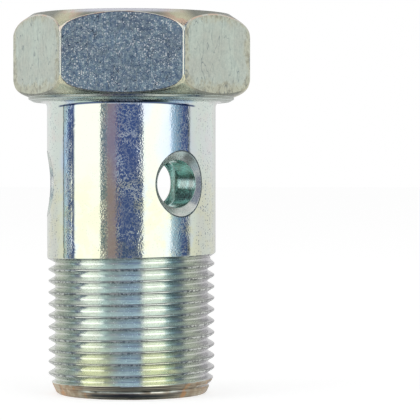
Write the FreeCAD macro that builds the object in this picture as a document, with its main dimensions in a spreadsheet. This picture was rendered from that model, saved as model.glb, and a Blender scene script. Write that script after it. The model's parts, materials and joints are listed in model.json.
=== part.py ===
"""Banjo bolt: a hollow bolt that clamps a ring fitting and feeds it through cross holes.

One piece, turned from hexagon bar. It stands on its threaded end: the origin is the centre of
that end, +Z runs along the axis to the head, and one flat of the hexagon faces -Y. All sizes
are in millimetres and degrees. The thread's stretch is its blank, turned to the major diameter.
"""

import FreeCAD, Part
import math
import os
import Sketcher


SIZES = (
    ("nominal_diameter", 22.0, "plain shank, and the thread's nominal size"),
    ("shank_length", 20.0, "bearing face to the start of the thread"),
    ("thread_length", 18.0, "threaded length, end chamfer included"),
    ("crest_step", 0.16, "how far the thread's crests lie inside the shank"),
    ("runout_length", 0.3, "cone from the shank down to the thread"),
    ("end_chamfer_length", 2.5, "length of the end chamfer along the axis"),
    ("end_chamfer_angle", 24.5, "slope of the end chamfer from the axis"),
    ("end_edge_radius", 0.8, "rounding between the end chamfer and the end face"),
    ("underhead_fillet", 0.9, "radius between the shank and the bearing face"),
    ("bearing_width", 1.75, "shank to the outer edge of the bearing face"),
    ("collar_bevel_width", 0.65, "bevel round the bearing face, measured across"),
    ("collar_bevel_height", 0.35, "bevel round the bearing face, measured along the axis"),
    ("collar_height", 0.65, "thickness of the collar"),
    ("flat_overhang", 0.1, "how far the flats of the hexagon stand outside the collar"),
    ("hex_height", 10.7, "height of the hexagon, both chamfers included"),
    ("hex_corner_radius", 0.4, "rounding of the six upright corners"),
    ("top_chamfer_width", 0.6, "top face to the middle of a flat"),
    ("top_chamfer_angle", 33.0, "slope of the upper chamfer below the top face"),
    ("top_chamfer_radius", 2.0, "arc that turns the upper chamfer upright at the corners"),
    ("lower_chamfer_angle", 15.0, "slope of the lower chamfer above the collar"),
    ("lower_chamfer_radius", 2.4, "arc that turns the lower chamfer upright at the corners"),
    ("wall_thickness", 4.4, "wall between the shank and the axial bore"),
    ("bore_mouth_chamfer", 0.25, "edge break at the mouth of the axial bore"),
    ("bore_mouth_angle", 90.0, "full angle of that edge break"),
    ("bore_overrun", 2.2, "full width of the axial bore past the radial holes"),
    ("drill_point_angle", 118.0, "cone that the axial drill leaves"),
    ("cross_hole_count", 3, "radial holes, evenly spaced"),
    ("cross_hole_diameter", 6.0, "drilled radial holes"),
    ("cross_hole_drop", 10.6, "bearing face to the centres of the radial holes"),
    ("first_hole_azimuth", 40.6, "first radial hole, turned from -Y towards +X"),
    ("countersink_width", 1.15, "rim of the countersink over the crest of the shank"),
    ("countersink_angle", 90.0, "full angle of the countersink"),
)

# Radii and widths as expressions of the sheet's sizes, stacked outwards from the shank.
SHANK_RADIUS = "Sizes.nominal_diameter / 2"
THREAD_RADIUS = SHANK_RADIUS + " - Sizes.crest_step"
BORE_RADIUS = SHANK_RADIUS + " - Sizes.wall_thickness"
END_FACE_RADIUS = THREAD_RADIUS + " - Sizes.end_chamfer_length * tan(Sizes.end_chamfer_angle * 1 deg)"
BEARING_RADIUS = SHANK_RADIUS + " + Sizes.bearing_width"
COLLAR_RADIUS = BEARING_RADIUS + " + Sizes.collar_bevel_width"
FLAT_DISTANCE = COLLAR_RADIUS + " + Sizes.flat_overhang"
CORNER_DISTANCE = f"({FLAT_DISTANCE}) / cos(30 deg)"
TOP_FACE_RADIUS = FLAT_DISTANCE + " - Sizes.top_chamfer_width"

# Heights above the threaded end, as expressions of the sheet's sizes.
BEARING_Z = "Sizes.thread_length + Sizes.shank_length"
COLLAR_TOP_Z = BEARING_Z + " + Sizes.collar_height"
HEAD_TOP_Z = COLLAR_TOP_Z + " + Sizes.hex_height"
CROSS_HOLE_Z = BEARING_Z + " - Sizes.cross_hole_drop"
BORE_DEPTH = CROSS_HOLE_Z + " + Sizes.cross_hole_diameter / 2 + Sizes.bore_overrun"


def add_sheet(doc):
    """Put the driving sizes in a spreadsheet, one row and one alias each."""
    sheet = doc.addObject("Spreadsheet::Sheet", "Sizes")
    for row, (alias, value, meaning) in enumerate(SIZES, start=1):
        sheet.set(f"A{row}", alias)
        sheet.set(f"B{row}", str(value))
        sheet.set(f"C{row}", meaning)
        sheet.setAlias(f"B{row}", alias)
    doc.recompute()
    return sheet


def origin_feature(body, role):
    """Return the body's own origin plane or axis that has this role."""
    return next(item for item in body.Origin.OriginFeatures if item.Role == role)


def add_sketch(body, name, role):
    """Add a sketch that lies flat on one of the body's origin planes."""
    sketch = body.newObject("Sketcher::SketchObject", name)
    sketch.AttachmentSupport = [(origin_feature(body, role), "")]
    sketch.MapMode = "FlatFace"
    return sketch


def add_dimension(sketch, name, constraint, expression):
    """Add a named dimension and bind it to the sheet."""
    index = sketch.addConstraint(constraint)
    sketch.renameConstraint(index, name)
    sketch.setExpression("Constraints." + name, expression)


def draw_half_profile(sketch, corners):
    """Draw a closed outline beside the axis and pin each corner to two expressions.

    corners lists (name, radius, height). A radius of None puts the corner on the axis, and a
    height of None on the plane of the threaded end.
    """
    places = []
    for _, radius, height in corners:
        across = float(sketch.evalExpression(radius)) if radius else 0.0
        up = float(sketch.evalExpression(height)) if height else 0.0
        places.append(FreeCAD.Vector(across, up, 0))
    for start, end in zip(places, places[1:] + places[:1]):
        sketch.addGeometry(Part.LineSegment(start, end), False)
    for line in range(len(corners)):
        following = (line + 1) % len(corners)
        sketch.addConstraint(Sketcher.Constraint("Coincident", line, 2, following, 1))
    for line, (name, radius, height) in enumerate(corners):
        if radius:
            pin = Sketcher.Constraint("DistanceX", -1, 1, line, 1, places[line].x)
            add_dimension(sketch, name + "_radius", pin, radius)
        else:
            sketch.addConstraint(Sketcher.Constraint("PointOnObject", line, 1, -2))
        if height:
            pin = Sketcher.Constraint("DistanceY", -1, 1, line, 1, places[line].y)
            add_dimension(sketch, name + "_height", pin, height)
        else:
            sketch.addConstraint(Sketcher.Constraint("PointOnObject", line, 1, -1))


def draw_chamfer_cut(sketch, inner, level, side, angle, radius):
    """Draw the ring that a head chamfer cuts away.

    Its cone leaves the level at the inner radius, on the side "+" or "-" of it. An arc tangent
    to the cone then turns it upright at the circle of the hexagon's sharp corners.
    """
    bend = f"({radius}) * tan((90 deg - {angle} * 1 deg) / 2)"
    upright = f"{level} {side} (({CORNER_DISTANCE} - ({inner})) * tan({angle} * 1 deg) + {bend})"
    way = 1 if side == "+" else -1
    start, reach, base, end = (float(sketch.evalExpression(item))
                               for item in (inner, CORNER_DISTANCE, level, upright))
    curve = float(sketch.evalExpression(radius))
    steep = math.radians(float(sketch.evalExpression(angle)))
    inner_point = FreeCAD.Vector(start, base, 0)
    outer_point = FreeCAD.Vector(reach, base, 0)
    centre = FreeCAD.Vector(reach - curve, end, 0)
    cone_end = centre + FreeCAD.Vector(math.sin(steep), -way * math.cos(steep), 0) * curve
    arc_end = FreeCAD.Vector(reach, end, 0)
    first, last = (steep - math.pi / 2, 0) if way > 0 else (0, math.pi / 2 - steep)
    circle = Part.Circle(centre, FreeCAD.Vector(0, 0, 1), curve)
    sketch.addGeometry(Part.LineSegment(inner_point, cone_end), False)
    sketch.addGeometry(Part.ArcOfCircle(circle, first, last), False)
    sketch.addGeometry(Part.LineSegment(arc_end, outer_point), False)
    sketch.addGeometry(Part.LineSegment(outer_point, inner_point), False)

    # The arc runs anticlockwise, so it meets the cone with its start only on the "+" side.
    at_cone, at_upright = (1, 2) if way > 0 else (2, 1)
    sketch.addConstraint(Sketcher.Constraint("Tangent", 0, 2, 1, at_cone))
    sketch.addConstraint(Sketcher.Constraint("Tangent", 1, at_upright, 2, 1))
    sketch.addConstraint(Sketcher.Constraint("Coincident", 2, 2, 3, 1))
    sketch.addConstraint(Sketcher.Constraint("Coincident", 3, 2, 0, 1))
    sketch.addConstraint(Sketcher.Constraint("Vertical", 2))
    sketch.addConstraint(Sketcher.Constraint("Horizontal", 3))
    add_dimension(sketch, "inner_radius", Sketcher.Constraint("DistanceX", -1, 1, 0, 1, start), inner)
    add_dimension(sketch, "outer_radius", Sketcher.Constraint("DistanceX", -1, 1, 2, 2, reach), CORNER_DISTANCE)
    add_dimension(sketch, "level", Sketcher.Constraint("DistanceY", -1, 1, 0, 1, base), level)
    add_dimension(sketch, "upright_start", Sketcher.Constraint("DistanceY", -1, 1, 2, 1, end), upright)
    add_dimension(sketch, "bend_radius", Sketcher.Constraint("Radius", 1, curve), radius)


def draw_hexagon(sketch):
    """Draw the hexagon inside the circle of its corners, with one corner on the +X axis."""
    reach = float(sketch.evalExpression(CORNER_DISTANCE))
    corners = [FreeCAD.Vector(reach * math.cos(turn), reach * math.sin(turn), 0)
               for turn in (math.radians(60 * side) for side in range(6))]
    for start, end in zip(corners, corners[1:] + corners[:1]):
        sketch.addGeometry(Part.LineSegment(start, end), False)
    circle = sketch.addGeometry(Part.Circle(FreeCAD.Vector(), FreeCAD.Vector(0, 0, 1), reach), True)
    sketch.addConstraint(Sketcher.Constraint("Coincident", circle, 3, -1, 1))
    add_dimension(sketch, "corner_circle", Sketcher.Constraint("Radius", circle, reach), CORNER_DISTANCE)
    for side in range(6):
        sketch.addConstraint(Sketcher.Constraint("Coincident", side, 2, (side + 1) % 6, 1))
        sketch.addConstraint(Sketcher.Constraint("PointOnObject", side, 1, circle))
    for side in range(1, 6):
        sketch.addConstraint(Sketcher.Constraint("Equal", 0, side))
    sketch.addConstraint(Sketcher.Constraint("PointOnObject", 0, 1, -1))


def revolve(body, kind, name, sketch):
    """Turn a half profile once round the bolt's axis, to add material or to cut it."""
    feature = body.newObject(kind, name)
    feature.Profile = sketch
    feature.ReferenceAxis = (sketch, ["V_Axis"])
    feature.Angle = 360
    return feature


def circle_edges(shape, radius, height):
    """Name the circular edges of this radius at this height."""
    return [f"Edge{number}" for number, edge in enumerate(shape.Edges, start=1)
            if edge.Curve.TypeId == "Part::GeomCircle"
            and abs(edge.Curve.Radius - radius) < 1e-6
            and abs(edge.Curve.Center.z - height) < 1e-6]


def upright_edges(shape):
    """Name the straight edges that run along the axis."""
    return [f"Edge{number}" for number, edge in enumerate(shape.Edges, start=1)
            if edge.Curve.TypeId == "Part::GeomLine" and abs(edge.tangentAt(0).z) > 0.999]


def add_fillet(body, name, base, edges, radius):
    """Round the named edges of the base feature."""
    fillet = body.newObject("PartDesign::Fillet", name)
    fillet.Base = (base, edges)
    fillet.setExpression("Radius", radius)
    return fillet


def add_hexagon_head(doc, body):
    """Pad the hexagon, round its corners and turn the two chamfers."""
    sketch = add_sketch(body, "HexagonSketch", "XY_Plane")
    sketch.setExpression("AttachmentOffset.Base.z", COLLAR_TOP_Z)
    draw_hexagon(sketch)
    hexagon = body.newObject("PartDesign::Pad", "Hexagon")
    hexagon.Profile = sketch
    hexagon.setExpression("Length", "Sizes.hex_height")
    doc.recompute()
    add_fillet(body, "HexagonCorners", hexagon, upright_edges(hexagon.Shape), "Sizes.hex_corner_radius")

    chamfers = (
        ("TopChamfer", TOP_FACE_RADIUS, HEAD_TOP_Z, "-", "top"),
        ("LowerChamfer", COLLAR_RADIUS, COLLAR_TOP_Z, "+", "lower"),
    )
    for name, inner, level, side, end in chamfers:
        sketch = add_sketch(body, name + "Sketch", "XZ_Plane")
        draw_chamfer_cut(sketch, inner, level, side, f"Sizes.{end}_chamfer_angle", f"Sizes.{end}_chamfer_radius")
        revolve(body, "PartDesign::Groove", name, sketch)


def add_turned_body(doc, body):
    """Turn the collar, bearing face, shank, thread blank and end chamfer, and round two edges."""
    sketch = add_sketch(body, "TurnedSketch", "XZ_Plane")
    draw_half_profile(sketch, (
        ("end_centre", None, None),
        ("end_face", END_FACE_RADIUS, None),
        ("end_chamfer", THREAD_RADIUS, "Sizes.end_chamfer_length"),
        ("thread_start", THREAD_RADIUS, "Sizes.thread_length - Sizes.runout_length"),
        ("shank_end", SHANK_RADIUS, "Sizes.thread_length"),
        ("shank_top", SHANK_RADIUS, BEARING_Z),
        ("bearing_edge", BEARING_RADIUS, BEARING_Z),
        ("collar_edge", COLLAR_RADIUS, BEARING_Z + " + Sizes.collar_bevel_height"),
        ("collar_top", COLLAR_RADIUS, COLLAR_TOP_Z),
        ("head_centre", None, COLLAR_TOP_Z),
    ))
    turned = revolve(body, "PartDesign::Revolution", "TurnedBody", sketch)
    doc.recompute()
    edges = circle_edges(turned.Shape, float(sketch.evalExpression(SHANK_RADIUS)),
                         float(sketch.evalExpression(BEARING_Z)))
    fillet = add_fillet(body, "UnderheadFillet", turned, edges, "Sizes.underhead_fillet")
    doc.recompute()
    edges = circle_edges(fillet.Shape, float(sketch.evalExpression(END_FACE_RADIUS)), 0.0)
    add_fillet(body, "EndEdge", fillet, edges, "Sizes.end_edge_radius")


def add_hole(doc, body, name, sketch, diameter, depth, mouth_diameter, mouth_angle):
    """Drill a hole with a conical mouth from the circle in a sketch."""
    doc.recompute()
    hole = body.newObject("PartDesign::Hole", name)
    hole.Profile = sketch
    hole.DepthType = "Dimension"
    hole.HoleCutType = "Countersink"
    hole.setExpression("Diameter", diameter)
    hole.setExpression("Depth", depth)
    hole.setExpression("HoleCutDiameter", mouth_diameter)
    hole.setExpression("HoleCutCountersinkAngle", mouth_angle)
    return hole


def draw_hole_circle(sketch, diameter, height=None):
    """Draw the circle of a hole, centred across and at this height up the sketch."""
    radius = float(sketch.evalExpression(diameter)) / 2
    up = float(sketch.evalExpression(height)) if height else 0.0
    centre = FreeCAD.Vector(0, up, 0)
    circle = sketch.addGeometry(Part.Circle(centre, FreeCAD.Vector(0, 0, 1), radius), False)
    add_dimension(sketch, "hole_size", Sketcher.Constraint("Diameter", circle, 2 * radius), diameter)
    if height:
        sketch.addConstraint(Sketcher.Constraint("PointOnObject", circle, 3, -2))
        add_dimension(sketch, "hole_height", Sketcher.Constraint("DistanceY", -1, 1, circle, 3, up), height)
    else:
        sketch.addConstraint(Sketcher.Constraint("Coincident", circle, 3, -1, 1))


def add_axial_bore(doc, body):
    """Drill the blind bore up the axis from the threaded end."""
    sketch = add_sketch(body, "AxialBoreSketch", "XY_Plane")
    bore_diameter = f"2 * ({BORE_RADIUS})"
    draw_hole_circle(sketch, bore_diameter)
    bore = add_hole(doc, body, "AxialBore", sketch, bore_diameter, BORE_DEPTH,
                    bore_diameter + " + 2 * Sizes.bore_mouth_chamfer", "Sizes.bore_mouth_angle")
    bore.Reversed = True
    bore.DrillPoint = "Angled"
    bore.setExpression("DrillPointAngle", "Sizes.drill_point_angle")
    return bore


def add_cross_holes(doc, body):
    """Drill one countersunk hole from the shank's crest to the axis and repeat it round."""
    sketch = add_sketch(body, "CrossHoleSketch", "XZ_Plane")
    turn = "Sizes.first_hole_azimuth * 1 deg"
    upright_turn = FreeCAD.Rotation(FreeCAD.Vector(0, 1, 0), 1)
    sketch.AttachmentOffset = FreeCAD.Placement(FreeCAD.Vector(), upright_turn)
    sketch.setExpression("AttachmentOffset.Rotation.Angle", turn)
    sketch.setExpression("AttachmentOffset.Base.x", f"{SHANK_RADIUS} * sin({turn})")
    sketch.setExpression("AttachmentOffset.Base.z", f"{SHANK_RADIUS} * cos({turn})")
    draw_hole_circle(sketch, "Sizes.cross_hole_diameter", CROSS_HOLE_Z)
    hole = add_hole(doc, body, "CrossHole", sketch, "Sizes.cross_hole_diameter", SHANK_RADIUS,
                    "Sizes.cross_hole_diameter + 2 * Sizes.countersink_width", "Sizes.countersink_angle")
    hole.DrillPoint = "Flat"
    doc.recompute()

    ring = body.newObject("PartDesign::PolarPattern", "CrossHoles")
    ring.Originals = [hole]
    ring.Axis = (origin_feature(body, "Z_Axis"), [""])
    ring.Angle = 360
    ring.setExpression("Occurrences", "Sizes.cross_hole_count")
    body.Tip = ring
    return hole, ring


def check_cuts(cuts):
    """Stop unless each cutting feature leaves less material than the one before it."""
    for cut in cuts:
        removed = cut.BaseFeature.Shape.Volume - cut.Shape.Volume
        if removed <= 0:
            raise RuntimeError(f"{cut.Name} cuts nothing")


def check_document(doc, nodes):
    """Stop unless every object was made and each node is one valid solid."""
    for item in doc.Objects:
        if "Invalid" in item.State or "Error" in item.State:
            raise RuntimeError(f"{item.Name} failed: {item.State}")
    for node in nodes:
        if node.Shape.isNull() or not node.Shape.isValid() or len(node.Shape.Solids) != 1:
            raise RuntimeError(f"{node.Label} is not one valid solid")


def build_bolt(doc):
    """Build the bolt as one body and return it."""
    body = doc.addObject("PartDesign::Body", "banjo_bolt")
    body.Label = "banjo_bolt"
    body.Placement = FreeCAD.Placement()
    doc.recompute()
    add_hexagon_head(doc, body)
    add_turned_body(doc, body)
    bore = add_axial_bore(doc, body)
    cross_hole, ring = add_cross_holes(doc, body)
    doc.recompute()
    chamfers = [doc.getObject("TopChamfer"), doc.getObject("LowerChamfer")]
    check_cuts(chamfers + [bore, cross_hole])
    if ring.Shape.Volume >= cross_hole.Shape.Volume:
        raise RuntimeError("the ring of cross holes was not repeated")
    return body


def main():
    """Build the document and write the bolt to parts/banjo_bolt.step."""
    doc = FreeCAD.newDocument("BanjoBolt")
    add_sheet(doc)
    nodes = [build_bolt(doc)]
    check_document(doc, nodes)
    os.makedirs("parts", exist_ok=True)
    for node in nodes:
        node.Shape.exportStep(f"parts/{node.Label}.step")


main()
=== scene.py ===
import json
import math
from functools import cached_property

import bmesh
import bpy
import numpy as np
from bpy.props import FloatProperty, FloatVectorProperty, PointerProperty
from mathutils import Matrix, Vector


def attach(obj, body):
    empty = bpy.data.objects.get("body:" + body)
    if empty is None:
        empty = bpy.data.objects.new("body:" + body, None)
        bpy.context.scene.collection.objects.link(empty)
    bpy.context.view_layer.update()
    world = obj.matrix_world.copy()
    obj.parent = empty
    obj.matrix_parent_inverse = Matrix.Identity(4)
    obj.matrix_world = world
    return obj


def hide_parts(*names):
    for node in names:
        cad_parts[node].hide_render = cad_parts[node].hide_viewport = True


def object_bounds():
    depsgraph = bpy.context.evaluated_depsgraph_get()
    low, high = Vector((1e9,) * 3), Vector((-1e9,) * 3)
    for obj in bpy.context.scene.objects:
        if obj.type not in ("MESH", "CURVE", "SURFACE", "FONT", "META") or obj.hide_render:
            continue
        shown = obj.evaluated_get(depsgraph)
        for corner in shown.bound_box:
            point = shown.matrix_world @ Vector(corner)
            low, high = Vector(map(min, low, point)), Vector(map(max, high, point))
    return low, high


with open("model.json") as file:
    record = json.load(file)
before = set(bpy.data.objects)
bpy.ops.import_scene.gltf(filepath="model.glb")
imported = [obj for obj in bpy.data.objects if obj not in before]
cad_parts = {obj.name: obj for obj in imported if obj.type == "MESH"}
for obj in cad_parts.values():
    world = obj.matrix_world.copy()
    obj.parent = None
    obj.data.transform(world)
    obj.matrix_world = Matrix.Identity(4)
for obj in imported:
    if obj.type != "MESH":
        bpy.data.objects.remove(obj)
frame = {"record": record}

bl_info = {
    "name": "Banjo bolt",
    "version": (1, 0, 0),
    "blender": (4, 5, 0),
    "location": "3D View > Sidebar > Banjo bolt",
    "description": "Dresses the packed banjo bolt with its thread, rounded edges and plated finish",
    "category": "Object",
}

CAD_BOX = [list(corner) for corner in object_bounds()]
MOUNTS = {mount["name"]: mount for mount in frame["record"]["mounts"]}
HOLE_AXIS = MOUNTS["cross_hole_1"]["axis"]
HOLE_TURN = math.degrees(math.atan2(HOLE_AXIS[0], -HOLE_AXIS[1]))


def mount_radius(name):
    """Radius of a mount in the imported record, in metres."""
    return MOUNTS[name]["dims"]["r_mm"] / 1000


def length_property(name, default, description):
    """A size in metres that the sidebar shows in the scene's unit."""
    return FloatProperty(name=name, default=default, description=description, unit="LENGTH",
                         min=0.0, precision=5)


def angle_property(name, degrees, description):
    """An angle, given in degrees and kept in radians."""
    return FloatProperty(name=name, default=math.radians(degrees), description=description,
                         subtype="ANGLE", unit="ROTATION")


def colour_property(name, default, description):
    """A linear colour without alpha."""
    return FloatVectorProperty(name=name, default=default, description=description,
                               subtype="COLOR", size=3, min=0.0, max=1.0)


class BoltSizes(bpy.types.PropertyGroup):
    """Sizes of the bolt, in metres and radians."""

    shank_radius: length_property("Shank radius", mount_radius("shank"), "Plain shank")
    crest_radius: length_property("Crest radius", mount_radius("thread"), "Crests of the thread")
    pitch: length_property("Pitch", 0.0015, "Height of one turn of the thread")
    thread_depth: length_property("Thread depth", 0.00089, "Crest to root")
    crest_round: length_property("Crest rounding", 0.0002, "Radius of the crests")
    root_level: length_property("Root level", 0.00083, "Height of a root in front of the bolt")
    runout_level: length_property("Run-out level", 0.0174, "Height at which the thread begins to fade")
    runout_length: length_property("Run-out length", 0.00095, "Height over which the thread fades")
    end_face_radius: length_property("End face radius", 0.0097, "Threaded end")
    end_chamfer_angle: angle_property("End chamfer", 24.5, "Slope of the end chamfer from the axis")
    end_edge_radius: length_property("End edge", 0.0008, "Rounding between end face and chamfer")
    bearing_height: length_property("Bearing height", 0.038, "Face under the head")
    bearing_radius: length_property("Bearing radius", 0.01275, "Outer edge of the face under the head")
    underhead_radius: length_property("Under-head radius", 0.0009, "Fillet between shank and head")
    collar_radius: length_property("Collar radius", 0.0134, "Round collar under the hexagon")
    collar_bevel: length_property("Collar bevel", 0.00035, "Height of the bevel under the collar")
    collar_top: length_property("Collar top", 0.03865, "Height at which the hexagon begins")
    flat_distance: length_property("Flat distance", 0.0135, "Axis to a flat of the hexagon")
    corner_radius: length_property("Corner radius", 0.0005, "Rounding of the upright corners")
    head_top: length_property("Head top", CAD_BOX[1][2], "Height of the bolt")
    top_face_radius: length_property("Top face radius", 0.0129, "Round face on top of the head")
    top_chamfer_angle: angle_property("Top chamfer", 34.0, "Slope of the chamfer on the head")
    lower_chamfer_angle: angle_property("Lower chamfer", 22.0, "Slope of the chamfer under the head")
    bore_radius: length_property("Bore radius", mount_radius("axial_bore"), "Blind bore up the axis")
    bore_depth: length_property("Bore depth", 0.0326, "Full width of the blind bore")
    bore_mouth: length_property("Bore mouth", 0.00025, "Edge break at the mouth of the bore")
    drill_point: angle_property("Drill point", 118.0, "Cone at the top of the bore")
    hole_radius: length_property("Cross hole radius", mount_radius("cross_hole_1"), "Radial holes")
    hole_height: length_property("Cross hole height", 0.0274, "Centres of the radial holes")
    hole_azimuth: angle_property("Cross hole azimuth", HOLE_TURN,
                                 "First radial hole, turned from -Y towards +X")
    sink_width: length_property("Countersink width", 0.00115, "Countersink round each radial hole")


class BoltColours(bpy.types.PropertyGroup):
    """Linear colours of the plated steel."""

    # The shank's tints lie in bands round the axis that follow what it mirrors: blue where it mirrors
    # dark strips, pale where it mirrors white ones. They are passivation colour, and partly painted
    # reflection.
    shank_pale: colour_property("Shank, pale", (0.63, 0.67, 0.575), "Clear zinc on the shank")
    shank_blue: colour_property("Shank, blue", (0.52, 0.61, 0.72), "Blue passivation on the shank")
    shank_mint: colour_property("Shank, mint", (0.60, 0.67, 0.62), "Green passivation on the shank")
    shank_warm: colour_property("Shank, warm", (0.66, 0.56, 0.54), "Pink and brown passivation")
    thread_sage: colour_property("Thread, sage", (0.62, 0.66, 0.58), "Most of the thread")
    # Painted highlight: this paler base is laid where the thread mirrors the white strips, to brighten
    # them.
    thread_highlight_pale: colour_property("Thread, pale", (0.80, 0.85, 0.78), "Thread where it is cleanest")
    thread_blue: colour_property("Thread, blue", (0.74, 0.89, 0.92), "Blue passivation on the thread")
    thread_mauve: colour_property("Thread, mauve", (0.52, 0.51, 0.53), "Thread where it turns brown")
    thread_lime: colour_property("Thread, lime", (0.77, 0.80, 0.61), "Crests of the thread")
    flat_slate: colour_property("Flats, slate", (0.62, 0.80, 0.71), "Flats of the hexagon")
    flat_olive: colour_property("Flats, olive", (0.50, 0.53, 0.46), "Flats where they turn green")
    edge_pale: colour_property("Edges, pale", (0.56, 0.56, 0.50), "Rubbed edges of the hexagon")
    # This olive is dark as painted shade, standing in for the dark that the chamfers mirror; the
    # collar's dark turning rings use it too.
    rim_olive: colour_property("Chamfers, olive", (0.20, 0.21, 0.175), "Chamfers of the head")
    rim_cream: colour_property("Chamfers, cream", (0.53, 0.51, 0.36), "Chamfers at the corners")
    rim_rose: colour_property("Chamfers, rose", (0.60, 0.42, 0.32), "Pink patches on the chamfers")
    sink_grey: colour_property("Countersinks, grey", (0.66, 0.68, 0.64), "Countersinks of the holes")
    hole_edge_dark: colour_property("Hole rims, dark", (0.12, 0.14, 0.14), "Line round each countersink")
    bore_teal: colour_property("Bores, teal", (0.74, 0.99, 0.95), "Drilled walls")
    # This dark slate, with the near-black rings beside it, is painted shade on the front of the end
    # chamfer.
    slate_dark: colour_property("End chamfer, slate", (0.32, 0.28, 0.21), "Chamfer of the thread")
    end_gold: colour_property("End face, gold", (0.84, 0.76, 0.56), "Threaded end")
    floor_white: colour_property("Floor", (0.55, 0.55, 0.55), "Floor of the studio")


# Finish numbers of the faces, in the order of the bolt's material slots
TOP, RIM, EDGE, FLAT, COLLAR, SHANK, THREAD, END, BORE, SINK, HOLE_EDGE = range(11)

# The head's chamfers turn upright at the corners. These are, in metres, how far inside the corner
# that begins, how far it drops below the cone, and the width of the edge to a flat
UPPER_BEND = (0.0013, 0.0012, 0.00012)
LOWER_BEND = (0.0017, 0.0015, 0.00022)

# Radius of the small edges, and how close two points lie that are welded, in metres
EDGE_BREAK = 0.0002
WELD_DISTANCE = 2e-6


# Shapes, as arrays of points worked out from two parameters

def place(radius, azimuth, height):
    """Points at a radius and height, with the azimuth turned from -Y towards +X."""
    radius, azimuth, height = np.broadcast_arrays(radius, azimuth, height)
    return np.stack((radius * np.sin(azimuth), -radius * np.cos(azimuth), height), axis=-1)


def smooth_step(value):
    """Rise from 0 to 1 as the value goes from 0 to 1, with level ends: v squared times 3 minus 2v."""
    value = np.clip(value, 0, 1)
    return value * value * (3 - 2 * value)


def quadratic(start, middle, end, t):
    """Quadratic curve from start to end: (1-t)^2 A + 2t(1-t) C + t^2 B."""
    return (1 - t) ** 2 * start + 2 * t * (1 - t) * middle + t * t * end


def round_corners(outline, radii, steps):
    """Round the inner corners of outlines, given as an array (corner, column, 2).

    The two sides are left at the corner's radius times the tangent of half its turn, at most
    0.45 of the side, and joined by the quadratic curve that has the corner as its middle point.
    """
    before = outline[:-2] - outline[1:-1]
    after = outline[2:] - outline[1:-1]
    reach_before = np.linalg.norm(before, axis=-1, keepdims=True)
    reach_after = np.linalg.norm(after, axis=-1, keepdims=True)
    cosine = np.sum(before * after, axis=-1, keepdims=True) / (reach_before * reach_after)
    turn = np.pi - np.arccos(np.clip(cosine, -1, 1))
    setback = np.asarray(radii, dtype=float).reshape(len(radii), -1, 1) * np.tan(turn / 2)
    setback = np.minimum(setback, 0.45 * np.minimum(reach_before, reach_after))
    start = outline[1:-1] + before / reach_before * setback
    end = outline[1:-1] + after / reach_after * setback
    t = np.linspace(0, 1, steps + 1)[:, None, None, None]
    return np.moveaxis(quadratic(start, outline[1:-1], end, t), 0, 1)


def run_rows(outline, curves, cuts):
    """Rows of an outline: its first point, every rounded corner and its last point.

    Each straight run before, between and after the corners is cut into the number of equal parts
    that cuts gives for it.
    """
    rows = []
    sides = [outline[0]] + list(curves) + [outline[-1]]
    for number, parts in enumerate(cuts):
        start = sides[number] if number == 0 else sides[number][-1]
        stop = sides[number + 1] if number + 1 == len(sides) - 1 else sides[number + 1][0]
        share = np.linspace(0, 1, parts + 1)[:, None, None]
        rows.append(start + (stop - start) * share)
        if number + 1 < len(sides) - 1:
            rows.append(sides[number + 1][1:-1])
    return np.concatenate(rows)


def turned_outline(azimuths, corners):
    """Outline of (radius, height) corners, alike at every azimuth: array (corner, column, 2)."""
    return np.repeat(np.array(corners)[:, None], len(azimuths), axis=1)


def wrap(azimuths, rows):
    """Rows of (radius, height) laid round the axis."""
    return place(rows[..., 0], azimuths, rows[..., 1])


def column_azimuths(sizes):
    """Azimuths of the columns that every turned surface shares.

    Each sixth of a turn holds 34: six close ones at the hexagon's corner, and even steps to the
    line halfway between two cross holes, which has to be a column.
    """
    first = math.degrees(sizes.hole_azimuth) % 60
    corner = np.array([88.9, 89.259, 89.63, 90, 90.37, 90.741])
    sector = np.concatenate((
        np.linspace(first, 88.9, 23, endpoint=False),
        corner,
        np.linspace(91.1, first + 60, 5, endpoint=False),
    ))
    turns = np.arange(6)[:, None] * 60 - 180
    return np.radians((turns + sector).ravel())


def from_flat(azimuths):
    """Azimuths from the middle of the nearest flat, in radians."""
    return (azimuths + np.pi / 6) % (np.pi / 3) - np.pi / 6


def hexagon_radius(azimuths, sizes):
    """Distance from the axis to the hexagon: flat distance over cosine, or its corner's arc."""
    local = from_flat(azimuths)
    flat = sizes.flat_distance / np.cos(local)
    centre = (sizes.flat_distance - sizes.corner_radius) / math.cos(np.pi / 6)
    off = np.pi / 6 - np.abs(local)
    reach = sizes.corner_radius ** 2 - (centre * np.sin(off)) ** 2
    arc = centre * np.cos(off) + np.sqrt(np.maximum(reach, 0))
    touch = math.atan2(sizes.corner_radius / 2, centre + sizes.corner_radius * math.cos(np.pi / 6))
    return np.where(off < touch, arc, flat)


def domed_height(radius, face_radius, slope, reach, drop, corner):
    """How far a head chamfer has dropped below its face at a radius.

    It is a cone of that slope from the face's edge. Near the corner's radius the cone bends into
    an upright line: a quadratic curve from reach inside it to drop below it, where the radius is
    c - reach (1-t)^2, so t is 1 - sqrt((c - r) / reach).
    """
    cone = (radius - face_radius) * math.tan(slope)
    start = (corner - reach - face_radius) * math.tan(slope)
    middle = (corner - face_radius) * math.tan(slope)
    t = 1 - np.sqrt(np.clip((corner - radius) / reach, 0, 1))
    return np.where(radius < corner - reach, cone, quadratic(start, middle, middle + drop, t))


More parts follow.
